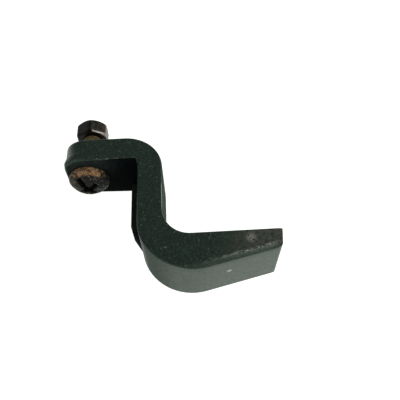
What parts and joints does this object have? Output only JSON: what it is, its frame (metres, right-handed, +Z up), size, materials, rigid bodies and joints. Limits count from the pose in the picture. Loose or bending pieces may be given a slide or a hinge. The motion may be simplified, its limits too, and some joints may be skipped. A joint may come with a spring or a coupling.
{
  "type": "offset hook clamp bracket",
  "caption": "Offset hook bracket: an ear clamped by a cross-recess screw and hex nut, a middle leg and a tapered hook tongue.",
  "frame": {"origin": "under the middle of the whole assembly, on the plane that its lower edge rests on", "axes": "+X from the ear's end to the tongue's tip, +Y from the screw head to the nut along the screw, +Z up through the bar's height"},
  "size_m": [0.0655, 0.059, 0.0189],
  "materials": {
    "black_coating": "satin black with a green-grey cast, worn at the tip",
    "rusted_steel": "zinc worn to brown rust, dirt in the recess",
    "tarnished_steel": "dark tarnished steel, brown at the edges"
  },
  "bodies": {
    "arm": {"bracket_arm": "black_coating"},
    "screw": {"clamp_screw": "rusted_steel"},
    "nut": {"hex_nut": "tarnished_steel"}
  },
  "joints": [
    {"name": "screw_turn", "type": "hinge", "parent": "arm", "child": "screw", "pos_m": [-0.0254, 0.01703, 0.00945], "axis": [0, 1, 0], "range_deg": [0, 2592]},
    {"name": "nut_travel", "type": "slide", "parent": "arm", "child": "nut", "axis": [0, -1, 0], "range_m": [0, 0.0072]}
  ],
  "couplings": [
    {"joint": "screw_turn", "follows": "nut_travel", "rad_per_m": 6283.2}
  ]
}
